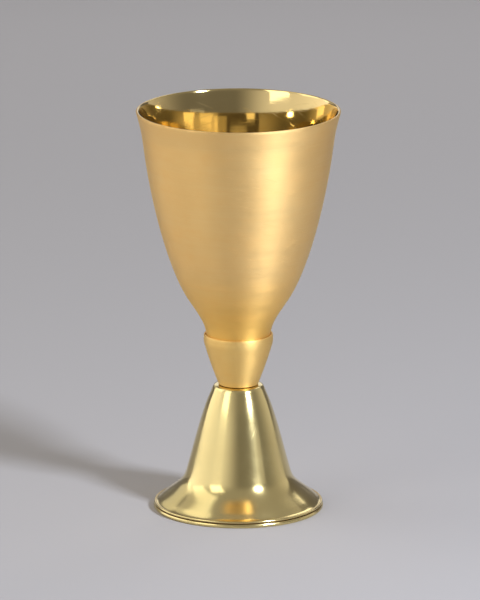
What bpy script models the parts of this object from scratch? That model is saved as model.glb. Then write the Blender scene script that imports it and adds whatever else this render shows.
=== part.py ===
"""Gilt metal goblet: a spun bowl clamped through a turned calyx onto a spun foot.

The pieces stack along +Z from the table at z = 0. A tapped boss is brazed under the bowl, a threaded rod
runs from it through the calyx and the top of the foot, and a washer and a nut inside the foot pull the
stack together. Lengths are in metres.
"""

import math

import bpy
from mathutils import Vector

# How round and how fine the turned pieces are
SEGMENTS = 56
SMALL_SEGMENTS = 32
CREASE_ANGLE = math.radians(35)
MERGE_DISTANCE = 0.00001

# Gap kept between pieces that touch
CLEARANCE = 0.0003

# Foot ring: the base wire that stands on the table
BASE_RADIUS = 0.0335
RING_WIDTH = 0.0032
RING_HEIGHT = 0.0015

# Foot: spun sheet, measured on its outer face
FOOT_WALL = 0.0009
FOOT_HEIGHT = 0.0498
SHOULDER_RADIUS = 0.0103
SHOULDER_ROUND = 0.0015
CONE_END_RADIUS = 0.0208
CONE_END_HEIGHT = 0.0142
RING_REVEAL = 0.0003
LAND_WIDTH = 0.0010
CONE_REACH = 0.0051
SWEEP_REACH = 0.0078
FOOT_EDGE_ROUND = 0.00027

# Calyx: the turned collar between foot and bowl
CALYX_HEIGHT = 0.0203
WAIST_RADIUS = 0.0078
CALYX_LIP = 0.0006
CALYX_BAND = 0.0030
CALYX_EDGE_ROUND = 0.0004
SPIGOT_WALL = 0.0010

# Bowl: spun sheet, measured on its outer face from the top of the calyx
BOWL_WALL = 0.0010
RIM_ROUND = 0.00035
BOWL_HEIGHT = 0.0896
NECK_RADIUS = 0.0127
NECK_DEPTH = 0.0046
NECK_CORNER = 0.0036
BELLY_RADIUS = 0.0207
BELLY_HEIGHT = 0.0157
LIP_HEIGHT = 0.0125
LIP_START_RADIUS = 0.0374
RIM_RADIUS = 0.0401

# Fastening inside: boss, rod, washer and nut
ROD_RADIUS = 0.0030
ROD_CHAMFER = 0.0005
ROD_SHOW = 0.0025
BOSS_RADIUS = 0.0080
BOSS_THICKNESS = 0.0030
WASHER_OVERHANG = 0.0022
WASHER_THICKNESS = 0.0012
NUT_ACROSS_FLATS = 0.0100
NUT_HEIGHT = 0.0050
NUT_CHAMFER = 0.0008

# How far the outer faces lean out for each unit they rise, negative where they lean in
SWEEP_LEAN = -1.15
CONE_LEAN = -0.30
SHOULDER_LEAN = -0.46
WAIST_LEAN = 0.40
BAND_LEAN = 0.25
NECK_LEAN = 0.10
BELLY_LEAN = 0.59
LIP_LEAN = 0.12
RIM_LEAN = 0.29

# How strongly the bowl's wall holds its direction at each end, as a share of the wall's height
BELLY_PULL = 0.24
LIP_PULL = 0.37

# Handle length that makes a curve a quarter circle, as a share of its radius
ROUND_HANDLE = 0.55

# Heights of the stack
ring_top = RING_HEIGHT
foot_land = ring_top + CLEARANCE + FOOT_WALL
calyx_bottom = FOOT_HEIGHT + CLEARANCE
calyx_top = calyx_bottom + CALYX_HEIGHT
bowl_bottom = calyx_top - NECK_DEPTH
boss_top = bowl_bottom - CLEARANCE
washer_top = FOOT_HEIGHT - FOOT_WALL - CLEARANCE
nut_top = washer_top - WASHER_THICKNESS - CLEARANCE
rod_bottom = nut_top - NUT_HEIGHT - ROD_SHOW

# Radii that follow from what passes through or seats
bore_radius = ROD_RADIUS + CLEARANCE
spigot_radius = bore_radius + SPIGOT_WALL
seat_radius = NECK_RADIUS + CLEARANCE
calyx_radius = seat_radius + CALYX_LIP


def point(radius, height):
    return Vector((radius, height))


def rising(lean, length):
    """A handle of the given length that goes up and leans out."""
    return Vector((lean, 1.0)).normalized() * length


def curve(start, start_handle, end_handle, end, steps):
    """Points of a cubic curve from start to end, without the start itself."""
    near = start + start_handle
    far = end - end_handle
    points = []
    for step in range(1, steps + 1):
        t = step / steps
        s = 1 - t
        points.append(s ** 3 * start + 3 * s * s * t * near + 3 * s * t * t * far + t ** 3 * end)
    return points


def arc(centre, radius, first_degrees, last_degrees, steps):
    """Points of a round corner, both ends included; 0 degrees points out, 90 degrees up."""
    points = []
    for step in range(steps + 1):
        angle = math.radians(first_degrees + (last_degrees - first_degrees) * step / steps)
        points.append(centre + radius * Vector((math.cos(angle), math.sin(angle))))
    return points


def make_material(name, colour, roughness):
    material = bpy.data.materials.new(name)
    material.use_nodes = True
    shader = material.node_tree.nodes["Principled BSDF"]
    shader.inputs["Base Color"].default_value = (*colour, 1.0)
    shader.inputs["Roughness"].default_value = roughness
    shader.inputs["Metallic"].default_value = 1.0
    return material


def place(piece, height, material):
    """Stands a piece at its height on the axis, under the goblet's empty."""
    piece.location = (0.0, 0.0, height)
    piece.parent = goblet
    piece.data.materials.clear()
    piece.data.materials.append(material)
    for owner in list(piece.users_collection):
        owner.objects.unlink(piece)
    goblet_parts.objects.link(piece)
    return piece


def turn(name, outline, closed, segments=SEGMENTS):
    """Turns an outline round the axis; the outline runs down its outer side."""
    count = len(outline)
    edges = [(index, index + 1) for index in range(count - 1)]
    if closed:
        edges.append((count - 1, 0))
    mesh = bpy.data.meshes.new(name)
    mesh.from_pydata([(spot.x, 0.0, spot.y) for spot in outline], edges, [])
    piece = bpy.data.objects.new(name, mesh)
    bpy.context.scene.collection.objects.link(piece)
    screw = piece.modifiers.new("turn", "SCREW")
    screw.steps = segments
    screw.render_steps = segments
    screw.use_merge_vertices = True
    screw.merge_threshold = MERGE_DISTANCE
    return piece


def thicken(piece, wall):
    """Gives a turned skin its wall, inwards from the outer face."""
    shell = piece.modifiers.new("wall", "SOLIDIFY")
    shell.thickness = wall
    shell.offset = -1.0
    shell.use_even_offset = True


def soften(piece, width, steps):
    """Rounds the edges that turn by more than half a right angle."""
    bevel = piece.modifiers.new("edge", "BEVEL")
    bevel.width = width
    bevel.segments = steps
    bevel.limit_method = "ANGLE"
    bevel.angle_limit = math.radians(50)


def settle(piece):
    """Makes the modifiers' result the piece's own mesh, smooth up to its creases."""
    graph = bpy.context.evaluated_depsgraph_get()
    mesh = bpy.data.meshes.new_from_object(piece.evaluated_get(graph))
    mesh.name = piece.name
    piece.modifiers.clear()
    piece.data = mesh
    mesh.shade_smooth()
    mesh.set_sharp_from_angle(angle=CREASE_ANGLE)


def make_bowl():
    """The spun cup, from the rim down its outer face to the middle of its flat bottom."""
    rim = point(RIM_RADIUS, BOWL_HEIGHT)
    lip = point(LIP_START_RADIUS, BOWL_HEIGHT - LIP_HEIGHT)
    belly = point(BELLY_RADIUS, BELLY_HEIGHT)
    neck = point(NECK_RADIUS, CLEARANCE)
    corner = point(NECK_RADIUS - NECK_CORNER, NECK_CORNER - NECK_DEPTH)
    flare = LIP_HEIGHT / 3
    wall = lip.y - belly.y
    draw_in = BELLY_HEIGHT / 3
    outline = [rim]
    outline += curve(rim, -rising(RIM_LEAN, flare), -rising(LIP_LEAN, flare), lip, 4)
    outline += curve(lip, -rising(LIP_LEAN, wall * LIP_PULL), -rising(BELLY_LEAN, wall * BELLY_PULL), belly, 9)
    outline += curve(belly, -rising(BELLY_LEAN, draw_in), -rising(NECK_LEAN, draw_in), neck, 5)
    outline += arc(corner, NECK_CORNER, 0, -90, 4)
    outline.append(point(0.0, -NECK_DEPTH))
    bowl = turn("bowl", outline, closed=False)
    thicken(bowl, BOWL_WALL)
    soften(bowl, RIM_ROUND, 2)
    return place(bowl, calyx_top, satin_gold)


def make_calyx():
    """The turned collar: tapered outside, with seat, boss recess, bore and spigot inside."""
    seat_floor = CALYX_HEIGHT - NECK_DEPTH - CLEARANCE
    recess_floor = seat_floor - BOSS_THICKNESS - CLEARANCE
    recess_radius = BOSS_RADIUS + CLEARANCE
    band_bottom = point(calyx_radius, CALYX_HEIGHT - CALYX_BAND)
    waist = point(WAIST_RADIUS, 0.0)
    pull = band_bottom.y / 3
    edge = point(calyx_radius - CALYX_EDGE_ROUND, CALYX_HEIGHT - CALYX_EDGE_ROUND)
    outline = arc(edge, CALYX_EDGE_ROUND, 90, 0, 2)
    outline.append(band_bottom)
    outline += curve(band_bottom, -rising(BAND_LEAN, pull), -rising(WAIST_LEAN, pull), waist, 6)
    outline.append(point(spigot_radius, 0.0))
    outline.append(point(spigot_radius, -FOOT_WALL))
    outline.append(point(bore_radius, -FOOT_WALL))
    outline.append(point(bore_radius, recess_floor))
    outline.append(point(recess_radius, recess_floor))
    outline.append(point(recess_radius, seat_floor))
    outline.append(point(seat_radius, seat_floor))
    outline.append(point(seat_radius, CALYX_HEIGHT))
    calyx = turn("calyx", outline, closed=True)
    return place(calyx, calyx_bottom, satin_gold)


def make_foot():
    """The spun cone, from the hole in its flat top down its outer face to the land at its edge."""
    hole_radius = spigot_radius + CLEARANCE
    crown = point(SHOULDER_RADIUS - SHOULDER_ROUND, FOOT_HEIGHT)
    shoulder = point(SHOULDER_RADIUS, FOOT_HEIGHT - SHOULDER_ROUND)
    cone_end = point(CONE_END_RADIUS, CONE_END_HEIGHT)
    edge_radius = BASE_RADIUS - RING_REVEAL
    sweep_end = point(edge_radius - LAND_WIDTH, foot_land)
    turn_in = SHOULDER_ROUND * ROUND_HANDLE
    cone = (shoulder.y - cone_end.y) / 3
    outline = [point(hole_radius, FOOT_HEIGHT), crown]
    outline += curve(crown, point(turn_in, 0.0), -rising(SHOULDER_LEAN, turn_in), shoulder, 3)
    outline += curve(shoulder, -rising(SHOULDER_LEAN, cone), -rising(CONE_LEAN, cone), cone_end, 5)
    outline += curve(cone_end, -rising(CONE_LEAN, CONE_REACH),
                     -rising(SWEEP_LEAN, SWEEP_REACH), sweep_end, 7)
    outline.append(point(edge_radius, foot_land))
    foot = turn("foot", outline, closed=False)
    thicken(foot, FOOT_WALL)
    soften(foot, FOOT_EDGE_ROUND, 1)
    return place(foot, 0.0, polished_gold)


def make_foot_ring():
    """The base wire: flat where it stands and where the land rests, round on the outside."""
    half = RING_HEIGHT / 2
    outline = arc(point(BASE_RADIUS - half, half), half, 60, -60, 4)
    outline[0].y = RING_HEIGHT
    outline[-1].y = 0.0
    outline.append(point(BASE_RADIUS - RING_WIDTH, 0.0))
    outline.append(point(BASE_RADIUS - RING_WIDTH, RING_HEIGHT))
    ring = turn("foot_ring", outline, closed=True)
    return place(ring, 0.0, polished_gold)


def make_disc(name, outer_radius, inner_radius, thickness, top, material):
    """A flat round piece with a bore, hung by its top face."""
    outline = [
        point(outer_radius, 0.0),
        point(outer_radius, -thickness),
        point(inner_radius, -thickness),
        point(inner_radius, 0.0),
    ]
    disc = turn(name, outline, closed=True, segments=SMALL_SEGMENTS)
    return place(disc, top, material)


def make_tie_rod():
    """The rod from the boss to below the nut, drawn as its plain outer cylinder."""
    length = boss_top - rod_bottom
    outline = [
        point(0.0, 0.0),
        point(ROD_RADIUS - ROD_CHAMFER, 0.0),
        point(ROD_RADIUS, -ROD_CHAMFER),
        point(ROD_RADIUS, ROD_CHAMFER - length),
        point(ROD_RADIUS - ROD_CHAMFER, -length),
        point(0.0, -length),
    ]
    rod = turn("tie_rod", outline, closed=False, segments=SMALL_SEGMENTS)
    return place(rod, boss_top, plated_steel)


def make_cutter(name, outline, height):
    """A turned shape that only cuts other pieces."""
    cutter = turn(name, outline, closed=False, segments=SMALL_SEGMENTS)
    cutter.location = (0.0, 0.0, height)
    cutter.parent = goblet
    cutter.hide_render = True
    cutter.display_type = "WIRE"
    bpy.context.scene.collection.objects.unlink(cutter)
    cutters.objects.link(cutter)
    return cutter


def combine(piece, operation, tool):
    boolean = piece.modifiers.new(tool.name, "BOOLEAN")
    boolean.operation = operation
    boolean.solver = "EXACT"
    boolean.object = tool


def make_nut():
    """A hexagon bar end, its corners turned off at both faces, bored for the rod."""
    corner_radius = NUT_ACROSS_FLATS / 2 / math.cos(math.radians(30))
    bpy.ops.mesh.primitive_cylinder_add(vertices=6, radius=corner_radius, depth=NUT_HEIGHT)
    nut = bpy.context.object
    nut.name = "nut"
    face_radius = corner_radius - NUT_CHAMFER
    half = NUT_HEIGHT / 2
    slope = (corner_radius - face_radius) * math.tan(math.radians(30))
    blank = [
        point(0.0, half),
        point(face_radius, half),
        point(corner_radius + NUT_CHAMFER, half - 2 * slope),
        point(corner_radius + NUT_CHAMFER, 2 * slope - half),
        point(face_radius, -half),
        point(0.0, -half),
    ]
    bore = [
        point(0.0, NUT_HEIGHT),
        point(bore_radius, NUT_HEIGHT),
        point(bore_radius, -NUT_HEIGHT),
        point(0.0, -NUT_HEIGHT),
    ]
    middle = nut_top - half
    combine(nut, "INTERSECT", make_cutter("nut_blank", blank, middle))
    combine(nut, "DIFFERENCE", make_cutter("nut_bore", bore, middle))
    return place(nut, middle, plated_steel)


for old in list(bpy.data.objects):
    bpy.data.objects.remove(old, do_unlink=True)

goblet_parts = bpy.data.collections.new("goblet")
cutters = bpy.data.collections.new("goblet_cutters")
bpy.context.scene.collection.children.link(goblet_parts)
bpy.context.scene.collection.children.link(cutters)
goblet = bpy.data.objects.new("goblet_axis", None)
goblet_parts.objects.link(goblet)

satin_gold = make_material("satin_gold", (0.86, 0.55, 0.19), 0.34)
polished_gold = make_material("polished_gold", (0.88, 0.71, 0.33), 0.16)
raw_brass = make_material("raw_brass", (0.72, 0.52, 0.22), 0.40)
plated_steel = make_material("plated_steel", (0.56, 0.56, 0.55), 0.35)

pieces = [
    make_foot_ring(),
    make_foot(),
    make_calyx(),
    make_bowl(),
    make_disc("bowl_boss", BOSS_RADIUS, bore_radius, BOSS_THICKNESS, boss_top, raw_brass),
    make_tie_rod(),
    make_disc("washer", spigot_radius + WASHER_OVERHANG, bore_radius, WASHER_THICKNESS, washer_top, plated_steel),
    make_nut(),
]
bpy.context.view_layer.update()
for piece in pieces:
    settle(piece)
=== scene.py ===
import math

import bmesh
import bpy
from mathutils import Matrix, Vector, noise


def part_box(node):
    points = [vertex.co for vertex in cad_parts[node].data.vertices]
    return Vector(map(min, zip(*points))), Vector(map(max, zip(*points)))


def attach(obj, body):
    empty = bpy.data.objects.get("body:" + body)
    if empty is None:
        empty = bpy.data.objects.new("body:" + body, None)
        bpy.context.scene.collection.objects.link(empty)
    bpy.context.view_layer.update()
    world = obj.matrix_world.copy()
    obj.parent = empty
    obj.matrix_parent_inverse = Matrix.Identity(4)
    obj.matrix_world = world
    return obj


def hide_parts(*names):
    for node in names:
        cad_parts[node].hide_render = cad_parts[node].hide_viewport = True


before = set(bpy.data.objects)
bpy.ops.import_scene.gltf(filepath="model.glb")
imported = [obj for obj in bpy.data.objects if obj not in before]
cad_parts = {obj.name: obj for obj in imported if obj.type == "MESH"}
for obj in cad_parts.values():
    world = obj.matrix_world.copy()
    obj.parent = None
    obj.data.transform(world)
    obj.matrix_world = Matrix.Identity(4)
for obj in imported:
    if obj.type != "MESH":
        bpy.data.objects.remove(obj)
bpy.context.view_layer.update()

# Every length is in metres.

# The photograph's frame, and where the goblet stands in it
IMAGE_WIDTH = 480
IMAGE_HEIGHT = 600
AXIS_PIXEL = 238.4
MIDDLE_PIXEL = 309.4
PIXELS_PER_METRE = 2546.0

# The camera
CAMERA_ELEVATION = math.radians(14.2)
CAMERA_DISTANCE = 3.0
CAMERA_AIM_HEIGHT = 0.080
CAMERA_CLIP_END = 20.0
SENSOR_SIZE = 0.036
MILLIMETRES = 1000

# How finely the visible skins are turned, and how their corners are eased
TURN_STEPS = 160
SMALL_TURN_STEPS = 72
SPAN_STEPS = 4
CORNER_STEPS = 4
CORNER_CUT = 0.00012
CORNER_SHARE = 0.3
LONG_SPAN = 6 * CORNER_CUT
CREASE = math.radians(50)
WELD = 0.000002
LEVEL_DIGITS = 5

# The spinner's waviness: its height, how it changes round and up the wall, and where it is full
WAVINESS = 0.00004
WAVES_ROUND = 1.3
WAVES_UP = 45.0
WAVY_RADIUS = 0.01

# How level a face has to be to count as a bottom, and the band under the rim that never does
LEVEL_NORMAL = 0.7
LIP_BAND = 0.001

# The tie rod's thread and the nut on it; flank and root shape the groove's trapezium
THREAD_PITCH = 0.0010
THREAD_DEPTH = 0.00045
THREAD_ROWS = 8
THREAD_STEPS = 96
THREAD_FLANK = 1.5
THREAD_ROOT = 1.25
THREAD_PLAY = 0.00008
ROD_CHAMFER = 0.0005
ROD_CREASE = math.radians(35)
NUT_CHAMFER = 0.0008
NUT_CHAMFER_SLOPE = math.radians(30)
NUT_BORE_CHAMFER = 0.0003
NUT_CREASE = math.radians(25)
HEXAGON_SIDE = math.pi / 3

# How the lathe's lines lie: how far they wander round the axis, how much the radius counts
# beside the height, the radius at which the surface is unrolled for the hairlines, and the
# quarter turn that makes highlights smear across the lines
LATHE_WANDER = 0.0011
RADIUS_SHARE = 0.7
UNROLL_RADIUS = 0.03
SMALLEST_SQUARE = 1e-12
ACROSS_THE_LINES = 0.25

# Noise scales, in cells per metre; the coarse lathe lines' is a share of the fine ones'
COARSE_SHARE = 0.13
DRIFT_SCALE = 38.0
SMUDGE_SCALE = 120.0
RUB_SCALE = 260.0
PAPER_SCALE = 900.0
HAIRLINE_STRETCH = (70.0, 2400.0, 0.0)
HAIRLINE_TURNS = (0.35, -0.6)

# Where each noise goes over from nothing to full
DRIFT_STEP = (0.3, 0.7)
SMUDGE_STEP = (0.45, 0.75)
RUB_STEP = (0.35, 0.65)
HAIRLINE_STEP = (0.66, 0.74)

# How much each kind of wear changes the colour, the roughness and the relief
WORN_SHADE = 0.82
RUB_COLOUR = 0.6
RUB_ROUGHNESS = 0.08
HAIRLINE_ROUGHNESS = 0.06
SMUDGE_ROUGHNESS = 0.12
HAIRLINE_RELIEF = 0.7
COARSE_RELIEF = 3.0
BUMP_STRENGTH = 0.5

# Where the wear, the painted shade and the changes of finish lie: the rubbed band's width, the
# heights between which the base's rubbing and the low painted shade (a deeper tint) fade, and the
# duller part's depths under the rim
RUB_WIDTH = 0.0009
BASE_RUB_HEIGHTS = (0.006, 0.004)
PAINTED_SHADE_HEIGHTS = (0.070, 0.105)
DULL_DEPTHS = (0.050, 0.012)

# The finishes, in the order in which their materials are made
FINISHES = {
    "gilt_satin": {
        "colour": (0.957, 0.671, 0.287),
        "tint": (0.937, 0.641, 0.264),
        "roughness": 0.577,
        "anisotropy": 0.69,
        "line_scale": 2200.0,
        "line_depth": 0.00008,
        "line_rough": 0.16,
        # Painted shade: a deeper, more orange tint low on the bowl that dims the highlight where
        # the wall faces down
        "low_painted_shade": (0.95, 0.614, 0.167),
    },
    "gilt_collar": {
        "colour": (0.949, 0.671, 0.249),
        "tint": (0.930, 0.640, 0.229),
        "roughness": 0.577,
        "anisotropy": 0.69,
        "line_scale": 2200.0,
        "line_depth": 0.00008,
        "line_rough": 0.16,
    },
    "gilt_polished": {
        "colour": (0.789, 0.651, 0.303),
        "tint": (0.773, 0.622, 0.279),
        "roughness": 0.176,
        "anisotropy": 0.63,
        "line_scale": 1800.0,
        "line_depth": 0.00001,
        "line_rough": 0.04,
    },
    # The cup's inside: the same gilding as the outside, polished; its darker colour is painted
    # shade in the cup's hollow
    "gilt_inside": {
        "colour": (0.690, 0.536, 0.248),
        "tint": (0.677, 0.512, 0.228),
        "roughness": 0.066,
        "anisotropy": 0.20,
        "line_scale": 1500.0,
        "line_depth": 0.00001,
        "line_rough": 0.03,
        "low_rough": 0.14,
    },
    "spun_brass": {
        "colour": (0.62, 0.44, 0.20),
        "tint": (0.48, 0.33, 0.15),
        "roughness": 0.42,
        "anisotropy": 0.55,
        "line_scale": 700.0,
        "line_depth": 0.00006,
        "line_rough": 0.16,
    },
    "turned_brass": {
        "colour": (0.70, 0.50, 0.22),
        "tint": (0.62, 0.43, 0.18),
        "roughness": 0.38,
        "anisotropy": 0.50,
        "line_scale": 1400.0,
        "line_depth": 0.00003,
        "line_rough": 0.12,
    },
    "zinc_plate": {
        "colour": (0.50, 0.50, 0.49),
        "tint": (0.42, 0.42, 0.40),
        "roughness": 0.36,
        "anisotropy": 0.30,
        "line_scale": 1400.0,
        "line_depth": 0.00002,
        "line_rough": 0.12,
    },
}

# The sweep of paper under and behind the goblet
SWEEP_HALF_WIDTH = 6.0
SWEEP_FRONT = -6.0
SWEEP_BEND_START = 3.6
SWEEP_BEND_RADIUS = 1.2
SWEEP_BEND_STEPS = 24
SWEEP_TOP = 6.0
PAPER_COLOURS = (0.429, 0.416, 0.425), (0.439, 0.426, 0.435)
PAPER_ROUGHNESS = 0.9
PAPER_SPECULAR = 0.2

# The dim room's brightness, and the directions between which one goes over to the next
ROOM_FRONT = 0.200
ROOM_BACK = 0.686
ROOM_LEFT = 0.797
ROOM_CEILING = 0.345
ROOM_COLOUR = (1.036, 1.0, 0.968, 1.0)
FRONT_TO_BACK = (-0.5, 0.7)
LEFT_TO_MIDDLE = (-0.8, 0.1)
WALL_TO_CEILING = (0.25, 0.85)

# The lamps: azimuth and elevation in degrees, distance, width, height, watts and colour.
# Azimuth 0 is at the camera and grows to the camera's right.
COOL = (0.93, 1.0, 1.13)
WARM = (1.03, 1.0, 0.89)
WHITE = (1.0, 1.0, 1.0)
LAMPS = {
    "key": (46.4, 32.9, 1.25, 0.222, 0.120, 15.14, COOL),
    "left_front": (-51.1, 32.6, 0.95, 0.409, 0.500, 1.132, WARM),
    "left_side": (-97.7, 43.6, 0.95, 0.484, 0.799, 1.122, WARM),
    "left_back": (-135, 22, 1.2, 0.6, 0.5, 0.517, WARM),
    "back_card": (180, 13.9, 1.1, 0.8, 0.3, 0.696, WHITE),
    "right_back": (149.0, 38.0, 1.2, 0.35, 0.5, 1.059, WHITE),
    "right_fill": (52.0, 0.1, 1.2, 0.4, 0.5, 0.198, WHITE),
}

rim_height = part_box("bowl")[1].z
base_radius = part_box("foot_ring")[1].x
goblet_middle = rim_height / 2


def add_node(tree, kind, inputs=None, **settings):
    """Adds a shader node; an input is a value or another node's socket."""
    node = tree.nodes.new(kind)
    for key, value in settings.items():
        setattr(node, key, value)
    for key, value in (inputs or {}).items():
        if isinstance(value, bpy.types.NodeSocket):
            tree.links.new(value, node.inputs[key])
        else:
            node.inputs[key].default_value = value
    return node


def calculate(tree, operation, first, second=0.0):
    """One sum on two values or sockets, such as ADD or MULTIPLY."""
    return add_node(tree, "ShaderNodeMath", {0: first, 1: second}, operation=operation).outputs[0]


def blend_range(tree, value, low, high, start=0.0, end=1.0):
    """A smooth step of value from low to high, given out from start to end."""
    inputs = {"Value": value, "From Min": low, "From Max": high, "To Min": start, "To Max": end}
    return add_node(tree, "ShaderNodeMapRange", inputs, interpolation_type="SMOOTHSTEP").outputs[0]


def mix_colour(tree, factor, first, second):
    """A blend of two colours, each three numbers or a socket."""
    first, second = (
        value if isinstance(value, bpy.types.NodeSocket) else (*value, 1.0)
        for value in (first, second)
    )
    inputs = {0: factor, 6: first, 7: second}
    return add_node(tree, "ShaderNodeMix", inputs, data_type="RGBA").outputs[2]


def noise_node(tree, vector, scale, detail=2.0, roughness=0.5):
    inputs = {"Vector": vector, "Scale": scale, "Detail": detail, "Roughness": roughness}
    return add_node(tree, "ShaderNodeTexNoise", inputs).outputs["Fac"]


def turned_space(tree):
    """Places on a turned surface.

    They are the object position, the height, the radius, a vector stretched along the lathe's
    lines, and the surface unrolled.
    """
    place = add_node(tree, "ShaderNodeTexCoord").outputs["Object"]
    x, y, height = add_node(tree, "ShaderNodeSeparateXYZ", {0: place}).outputs
    x_square = calculate(tree, "POWER", x, 2.0)
    y_square = calculate(tree, "POWER", y, 2.0)
    square = calculate(tree, "MAXIMUM", calculate(tree, "ADD", x_square, y_square), SMALLEST_SQUARE)
    radius = calculate(tree, "SQRT", square)
    spread = calculate(tree, "MULTIPLY", radius, RADIUS_SHARE)
    along = calculate(tree, "ADD", height, spread)
    around_x = calculate(tree, "DIVIDE", x, radius)
    around_y = calculate(tree, "DIVIDE", y, radius)
    lathe = add_node(tree, "ShaderNodeCombineXYZ", {
        0: calculate(tree, "MULTIPLY", around_x, LATHE_WANDER),
        1: calculate(tree, "MULTIPLY", around_y, LATHE_WANDER),
        2: along,
    }).outputs[0]
    bearing = calculate(tree, "ARCTAN2", x, calculate(tree, "MULTIPLY", y, -1.0))
    girth = calculate(tree, "MULTIPLY", bearing, UNROLL_RADIUS)
    unrolled = add_node(tree, "ShaderNodeCombineXYZ", {0: girth, 1: along}).outputs[0]
    return place, height, radius, lathe, unrolled


def hairlines(tree, unrolled, turn):
    """Sparse polishing scratches on the unrolled surface: the ridges of a stretched noise."""
    inputs = {"Vector": unrolled, "Angle": turn}
    aimed = add_node(tree, "ShaderNodeVectorRotate", inputs, rotation_type="Z_AXIS").outputs[0]
    inputs = {0: aimed, 1: HAIRLINE_STRETCH}
    stretched = add_node(tree, "ShaderNodeVectorMath", inputs, operation="MULTIPLY").outputs[0]
    return blend_range(tree, noise_node(tree, stretched, 1.0, detail=1.0), *HAIRLINE_STEP)


def rubbed_edges(tree, place, height, radius):
    """Patchy rubbing on the bowl's rim and on the outer edge of the base."""
    rim = blend_range(tree, height, rim_height - RUB_WIDTH, rim_height)
    edge = blend_range(tree, radius, base_radius - RUB_WIDTH, base_radius)
    low_enough = blend_range(tree, height, *BASE_RUB_HEIGHTS)
    rub = calculate(tree, "MAXIMUM", rim, calculate(tree, "MULTIPLY", edge, low_enough))
    patches = blend_range(tree, noise_node(tree, place, RUB_SCALE, detail=3.0), *RUB_STEP)
    return calculate(tree, "MULTIPLY", rub, patches)


def make_finish(
    name, colour, tint, roughness, anisotropy, line_scale, line_depth, line_rough,
    low_painted_shade=None, low_rough=0.0,
):
    """Turned metal: lathe lines, a slow drift of colour, smudges, hairlines and rubbed edges.

    Low on the bowl it can go over to a deeper tint, a painted shade that dims the highlight
    where the wall faces down. Low inside the cup, where a polishing wheel doesn't reach, it can
    go over to a duller finish.
    """
    material = bpy.data.materials.new(name)
    material.use_nodes = True
    tree = material.node_tree
    shader = tree.nodes["Principled BSDF"]
    place, height, radius, lathe, unrolled = turned_space(tree)
    lines = noise_node(tree, lathe, line_scale, detail=4.0, roughness=0.6)
    coarse = noise_node(tree, lathe, line_scale * COARSE_SHARE)
    drift = noise_node(tree, place, DRIFT_SCALE, detail=3.0, roughness=0.55)
    smudges = noise_node(tree, place, SMUDGE_SCALE, detail=4.0, roughness=0.6)
    smudged = blend_range(tree, smudges, *SMUDGE_STEP)
    both_ways = [hairlines(tree, unrolled, turn) for turn in HAIRLINE_TURNS]
    hairs = calculate(tree, "MAXIMUM", *both_ways)
    rub = rubbed_edges(tree, place, height, radius)

    base = mix_colour(tree, blend_range(tree, drift, *DRIFT_STEP), colour, tint)
    # Painted shade: low on the bowl the colour goes over to a deeper tint, dimming the highlight
    # where the wall faces down
    if low_painted_shade:
        low = blend_range(tree, height, *PAINTED_SHADE_HEIGHTS, start=1.0, end=0.0)
        base = mix_colour(tree, low, base, low_painted_shade)
    worn = [channel * WORN_SHADE for channel in colour]
    base = mix_colour(tree, calculate(tree, "MULTIPLY", rub, RUB_COLOUR), base, worn)
    tree.links.new(base, shader.inputs["Base Color"])

    rough = roughness - line_rough / 2
    for value, amount in (
        (lines, line_rough),
        (calculate(tree, "SUBTRACT", coarse, 0.5), line_rough),
        (smudged, roughness * SMUDGE_ROUGHNESS),
        (hairs, HAIRLINE_ROUGHNESS),
        (rub, RUB_ROUGHNESS),
    ):
        rough = calculate(tree, "ADD", rough, calculate(tree, "MULTIPLY", value, amount))
    if low_rough:
        depths = (rim_height - depth for depth in DULL_DEPTHS)
        dull = blend_range(tree, height, *depths, start=low_rough, end=0.0)
        rough = calculate(tree, "ADD", rough, dull)
    tree.links.new(rough, shader.inputs["Roughness"])

    relief = calculate(tree, "ADD", lines, calculate(tree, "MULTIPLY", coarse, COARSE_RELIEF))
    scratched = calculate(tree, "MULTIPLY", hairs, HAIRLINE_RELIEF)
    relief = calculate(tree, "SUBTRACT", relief, scratched)
    inputs = {"Strength": BUMP_STRENGTH, "Distance": line_depth, "Height": relief}
    bump = add_node(tree, "ShaderNodeBump", inputs)
    tree.links.new(bump.outputs[0], shader.inputs["Normal"])
    shader.inputs["Metallic"].default_value = 1.0
    shader.inputs["Anisotropic"].default_value = anisotropy
    shader.inputs["Anisotropic Rotation"].default_value = ACROSS_THE_LINES
    tangent = add_node(tree, "ShaderNodeTangent", direction_type="RADIAL", axis="Z")
    tree.links.new(tangent.outputs[0], shader.inputs["Tangent"])
    return material


def meridian(node):
    """A turned node's outline as (radius, height) points, and whether it closes off the axis."""
    solid = bmesh.new()
    solid.from_mesh(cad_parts[node].data)
    bmesh.ops.remove_doubles(solid, verts=solid.verts, dist=WELD)
    links = {v: [] for v in solid.verts if abs(v.co.y) < WELD and v.co.x > WELD}
    for edge in solid.edges:
        first, second = edge.verts
        if first in links and second in links:
            links[first].append(second)
            links[second].append(first)

    # A flat ring's face may have no edge across it, so its two ends are joined at their height.
    # An end that is left over is the edge of a disc, whose middle is on the axis.
    levels = {}
    for v in links:
        if len(links[v]) == 1:
            levels.setdefault(round(v.co.z, LEVEL_DIGITS), []).append(v)
    poles = []
    for level in levels.values():
        level.sort(key=lambda v: v.co.x)
        if len(level) % 2:
            poles.append(level.pop(0))
        for inner, outer in zip(level[::2], level[1::2]):
            links[inner].append(outer)
            links[outer].append(inner)

    start = max(poles or links, key=lambda v: v.co.z)
    chain = [start, max(links[start], key=lambda v: v.co.z)]
    while True:
        ahead = [v for v in links[chain[-1]] if v is not chain[-2]]
        if not ahead or ahead[0] is start:
            break
        chain.append(ahead[0])
    outline = [Vector((v.co.x, v.co.z)) for v in chain]
    if poles:
        outline.insert(0, Vector((0.0, outline[0].y)))
        outline.append(Vector((0.0, outline[-1].y)))
    solid.free()
    return outline, not poles


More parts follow.
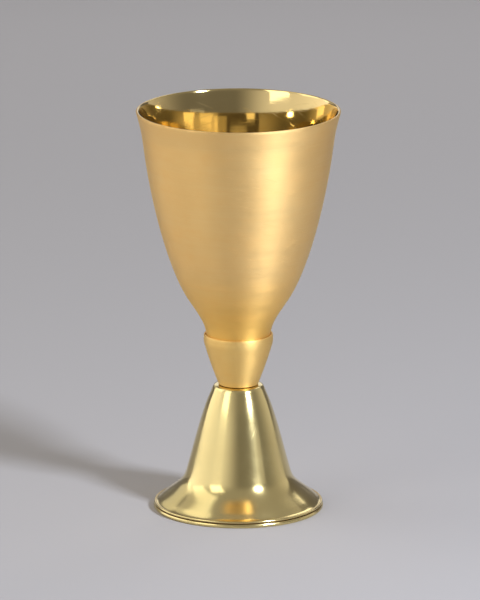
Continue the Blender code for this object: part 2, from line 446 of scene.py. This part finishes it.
def rounded(outline, closed):
    """Smooth curves through the outline's points, with sharp corners kept and slightly eased."""
    count = len(outline)

    def at(index):
        return outline[index % count] if closed else outline[max(0, min(count - 1, index))]

    def is_corner(index):
        before = at(index) - at(index - 1)
        after = at(index + 1) - at(index)
        at_end = before.length < WELD or after.length < WELD
        return at_end or before.angle(after) > CREASE

    points = []
    for index in range(count if closed else count - 1):
        start, end = at(index), at(index + 1)
        span = end - start
        heading = span.normalized()
        leaving = heading if is_corner(index) else (end - at(index - 1)).normalized()
        arriving = heading if is_corner(index + 1) else (at(index + 2) - start).normalized()
        back = at(index - 1) - start
        if is_corner(index) and back.length > WELD:
            lead = start + back.normalized() * min(CORNER_CUT, back.length * CORNER_SHARE)
            tail = start + heading * min(CORNER_CUT, span.length * CORNER_SHARE)
            for step in range(CORNER_STEPS + 1):
                t = step / CORNER_STEPS
                points.append(lead * (1 - t) ** 2 + start * 2 * t * (1 - t) + tail * t * t)
        else:
            points.append(start.copy())
        if span.length < LONG_SPAN:
            continue
        leaving = leaving * span.length
        arriving = arriving * span.length
        for step in range(1, SPAN_STEPS):
            t = step / SPAN_STEPS
            spot = start * (2 * t ** 3 - 3 * t * t + 1) + leaving * (t ** 3 - 2 * t * t + t)
            spot += end * (3 * t * t - 2 * t ** 3) + arriving * (t ** 3 - t * t)
            points.append(spot)
    if not closed:
        points.append(outline[-1].copy())
    return points


def angles(steps):
    return [2 * math.pi * step / steps for step in range(steps)]


def make_ring(skin, height, radii):
    """A ring of points with a radius for each angle, or a single point on the axis."""
    if len(radii) == 1:
        return [skin.verts.new((0.0, 0.0, height))]
    return [
        skin.verts.new((radius * math.cos(angle), radius * math.sin(angle), height))
        for angle, radius in zip(angles(len(radii)), radii)
    ]


def join_rings(name, skin, rings):
    """Faces between neighbouring rings, made into an object."""
    for upper, lower in zip(rings, rings[1:]):
        steps = max(len(upper), len(lower))
        for step in range(steps):
            after = (step + 1) % steps
            corners = [
                upper[step % len(upper)],
                lower[step % len(lower)],
                lower[after % len(lower)],
                upper[after % len(upper)],
            ]
            skin.faces.new(list(dict.fromkeys(corners))).smooth = True
    bmesh.ops.recalc_face_normals(skin, faces=skin.faces)
    mesh = bpy.data.meshes.new(name)
    skin.to_mesh(mesh)
    skin.free()
    piece = bpy.data.objects.new(name, mesh)
    bpy.context.scene.collection.objects.link(piece)
    return piece


def revolve(name, outline, closed, steps, waviness=0.0):
    """Turns an outline into a closed skin, with a spinner's slight waviness in its radius."""
    skin = bmesh.new()
    rings = []
    for spot in outline:
        radii = [spot.x]
        if spot.x > WELD:
            sway = waviness * min(1.0, spot.x / WAVY_RADIUS)
            headings = [
                Vector((math.cos(a) * WAVES_ROUND, math.sin(a) * WAVES_ROUND, spot.y * WAVES_UP))
                for a in angles(steps)
            ]
            radii = [spot.x + sway * noise.noise(heading) for heading in headings]
        rings.append(make_ring(skin, spot.y, radii))
    if closed:
        rings.append(rings[0])
    return join_rings(name, skin, rings)


def dress(piece, slot, *materials):
    for material in materials:
        piece.data.materials.append(material)
    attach(piece, "root")


def outward(face):
    """Above 0 where a face looks away from the axis, and below 0 where it looks towards it."""
    return face.center.x * face.normal.x + face.center.y * face.normal.y


def make_bowl():
    outline, closed = meridian("bowl")
    piece = revolve("bowl_skin", rounded(outline, closed), closed, TURN_STEPS, WAVINESS)
    dress(piece, "satin_gold", finishes["gilt_satin"], finishes["gilt_inside"])
    for face in piece.data.polygons:
        is_bottom = face.normal.z > LEVEL_NORMAL and face.center.z < rim_height - LIP_BAND
        if outward(face) < 0 or is_bottom:
            face.material_index = 1
    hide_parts("bowl")


def make_foot():
    outline, closed = meridian("foot")
    piece = revolve("foot_skin", rounded(outline, closed), closed, TURN_STEPS, WAVINESS)
    dress(piece, "polished_gold", finishes["gilt_polished"], finishes["spun_brass"])
    for face in piece.data.polygons:
        if outward(face) < 0 or face.normal.z < -LEVEL_NORMAL:
            face.material_index = 1
    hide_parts("foot")


def make_turned(node, name, slot, finish, steps=TURN_STEPS):
    outline, closed = meridian(node)
    piece = revolve(name, rounded(outline, closed), closed, steps)
    dress(piece, slot, finishes[finish])
    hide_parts(node)


def thread_rows(low, high):
    """The heights at which a thread is drawn, from one end to the other."""
    rows = round((high.z - low.z) / THREAD_PITCH * THREAD_ROWS)
    return [low.z + (high.z - low.z) * row / rows for row in range(rows + 1)]


def thread_radii(widest, height):
    """A right-handed thread's radius at each angle, from its widest down to THREAD_DEPTH less."""
    radii = []
    for angle in angles(THREAD_STEPS):
        phase = (height / THREAD_PITCH - angle / (2 * math.pi)) % 1.0
        groove = max(0.0, min(1.0, THREAD_ROOT - abs(2 * phase - 1) * THREAD_FLANK))
        radii.append(widest - THREAD_DEPTH * groove)
    return radii


def make_rod():
    """The rod's rolled thread, which runs out at both chamfered ends."""
    low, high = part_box("tie_rod")
    skin = bmesh.new()
    rings = [make_ring(skin, low.z, [0.0])]
    for height in thread_rows(low, high):
        limit = high.x - ROD_CHAMFER + min(height - low.z, high.z - height)
        radii = [min(limit, radius) for radius in thread_radii(high.x, height)]
        rings.append(make_ring(skin, height, radii))
    rings.append(make_ring(skin, high.z, [0.0]))
    piece = join_rings("tie_rod_skin", skin, rings)
    piece.data.set_sharp_from_angle(angle=ROD_CREASE)
    dress(piece, "plated_steel", finishes["zinc_plate"])
    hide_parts("tie_rod")


def make_nut():
    """A hexagon nut with turned-off corners and a threaded bore."""
    low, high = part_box("nut")
    half_side = HEXAGON_SIDE / 2
    corner = high.x / math.cos(half_side)
    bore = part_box("tie_rod")[1].x + THREAD_PLAY
    drop = NUT_CHAMFER * math.tan(NUT_CHAMFER_SLOPE)
    hexagon = [
        high.x / math.cos((angle + half_side) % HEXAGON_SIDE - half_side)
        for angle in angles(THREAD_STEPS)
    ]
    cuts = [step / CORNER_STEPS for step in range(CORNER_STEPS + 1)]
    skin = bmesh.new()
    rings = []
    for edge, inward, edge_cuts in ((high.z, -1, cuts), (low.z, 1, cuts[::-1])):
        for cut in edge_cuts:
            limit = corner - NUT_CHAMFER * (1 - cut)
            radii = [min(limit, radius) for radius in hexagon]
            rings.append(make_ring(skin, edge + inward * drop * cut, radii))
    for height in thread_rows(low, high):
        mouth = bore + NUT_BORE_CHAMFER - min(height - low.z, high.z - height)
        radii = [max(mouth, radius) for radius in thread_radii(bore, height)]
        rings.append(make_ring(skin, height, radii))
    rings.append(rings[0])
    piece = join_rings("nut_skin", skin, rings)
    piece.data.set_sharp_from_angle(angle=NUT_CREASE)
    dress(piece, "plated_steel", finishes["zinc_plate"])
    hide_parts("nut")


def make_floor():
    """A pale sweep: flat under the goblet and well past every camera, then curved up behind."""
    side = [(SWEEP_FRONT, 0.0), (SWEEP_BEND_START, 0.0)]
    for step in range(1, SWEEP_BEND_STEPS + 1):
        angle = math.radians(90 * step / SWEEP_BEND_STEPS)
        back = SWEEP_BEND_START + SWEEP_BEND_RADIUS * math.sin(angle)
        side.append((back, SWEEP_BEND_RADIUS * (1 - math.cos(angle))))
    side.append((SWEEP_BEND_START + SWEEP_BEND_RADIUS, SWEEP_TOP))
    mesh = bpy.data.meshes.new("sweep")
    spots = [(x, y, z) for y, z in side for x in (-SWEEP_HALF_WIDTH, SWEEP_HALF_WIDTH)]
    faces = [(2 * i, 2 * i + 1, 2 * i + 3, 2 * i + 2) for i in range(len(side) - 1)]
    mesh.from_pydata(spots, [], faces)
    mesh.shade_smooth()
    sweep = bpy.data.objects.new("sweep", mesh)
    bpy.context.scene.collection.objects.link(sweep)
    material = bpy.data.materials.new("sweep_paper")
    material.use_nodes = True
    tree = material.node_tree
    shader = tree.nodes["Principled BSDF"]
    place = add_node(tree, "ShaderNodeTexCoord").outputs["Object"]
    grain = noise_node(tree, place, PAPER_SCALE, detail=3.0)
    tree.links.new(mix_colour(tree, grain, *PAPER_COLOURS), shader.inputs["Base Color"])
    shader.inputs["Roughness"].default_value = PAPER_ROUGHNESS
    shader.inputs["Specular IOR Level"].default_value = PAPER_SPECULAR
    sweep.data.materials.append(material)


def make_lamp(name, azimuth, elevation, distance, width, height, watts, colour):
    """A soft box that faces the middle of the goblet and isn't seen by the camera itself."""
    lamp = bpy.data.lights.new(name, "AREA")
    lamp.shape = "RECTANGLE"
    lamp.size = width
    lamp.size_y = height
    lamp.energy = watts
    lamp.color = colour
    box = bpy.data.objects.new(name, lamp)
    turn = math.radians(azimuth)
    lift = math.radians(elevation)
    across = Vector((math.sin(turn), -math.cos(turn), 0.0))
    away = across * math.cos(lift) + Vector((0.0, 0.0, math.sin(lift)))
    box.location = away * distance + Vector((0.0, 0.0, goblet_middle))
    box.rotation_mode = "QUATERNION"
    box.rotation_quaternion = away.to_track_quat("Z", "Y")
    box.visible_camera = False
    bpy.context.scene.collection.objects.link(box)


def make_world():
    """A dim room: brighter behind the goblet and to its left, darker in front and overhead."""
    world = bpy.data.worlds.new("studio")
    world.use_nodes = True
    bpy.context.scene.world = world
    tree = world.node_tree
    background = tree.nodes["Background"]
    aim = add_node(tree, "ShaderNodeTexCoord").outputs["Generated"]
    x, y, z = add_node(tree, "ShaderNodeSeparateXYZ", {0: aim}).outputs
    depth = blend_range(tree, y, *FRONT_TO_BACK, start=ROOM_FRONT, end=ROOM_BACK)
    left = blend_range(tree, x, *LEFT_TO_MIDDLE, start=ROOM_LEFT, end=0.0)
    below_ceiling = blend_range(tree, z, *WALL_TO_CEILING, start=1.0, end=0.0)
    walls = calculate(tree, "MULTIPLY", calculate(tree, "ADD", depth, left), below_ceiling)
    ceiling = blend_range(tree, z, *WALL_TO_CEILING, start=0.0, end=ROOM_CEILING)
    tree.links.new(calculate(tree, "ADD", walls, ceiling), background.inputs["Strength"])
    background.inputs["Color"].default_value = ROOM_COLOUR


def make_camera():
    """The photograph's view: a long lens a little above the goblet."""
    lens = SENSOR_SIZE * CAMERA_DISTANCE * PIXELS_PER_METRE / IMAGE_HEIGHT
    data = bpy.data.cameras.new("camera")
    data.lens = lens * MILLIMETRES
    data.sensor_width = SENSOR_SIZE * MILLIMETRES
    data.clip_end = CAMERA_CLIP_END
    camera = bpy.data.objects.new("camera", data)
    right = (IMAGE_WIDTH / 2 - AXIS_PIXEL) / PIXELS_PER_METRE
    above = (MIDDLE_PIXEL - IMAGE_HEIGHT / 2) / PIXELS_PER_METRE
    toward = Vector((0.0, -math.cos(CAMERA_ELEVATION), math.sin(CAMERA_ELEVATION)))
    upward = Vector((0.0, math.sin(CAMERA_ELEVATION), math.cos(CAMERA_ELEVATION)))
    target = Vector((right, 0.0, CAMERA_AIM_HEIGHT)) + upward * above
    camera.location = target + toward * CAMERA_DISTANCE
    camera.rotation_mode = "QUATERNION"
    camera.rotation_quaternion = toward.to_track_quat("Z", "Y")
    bpy.context.scene.collection.objects.link(camera)
    bpy.context.scene.camera = camera
    bpy.context.scene.view_settings.view_transform = "Standard"


finishes = {name: make_finish(name, **values) for name, values in FINISHES.items()}

make_bowl()
make_foot()
make_turned("calyx", "calyx_skin", "satin_gold", "gilt_collar")
make_turned("foot_ring", "foot_ring_skin", "polished_gold", "gilt_polished")
make_turned("washer", "washer_skin", "plated_steel", "zinc_plate", SMALL_TURN_STEPS)
make_rod()
make_nut()
make_turned("bowl_boss", "bowl_boss_skin", "raw_brass", "turned_brass", SMALL_TURN_STEPS)

make_floor()
make_world()
for lamp_name, lamp_values in LAMPS.items():
    make_lamp(lamp_name, *lamp_values)
make_camera()
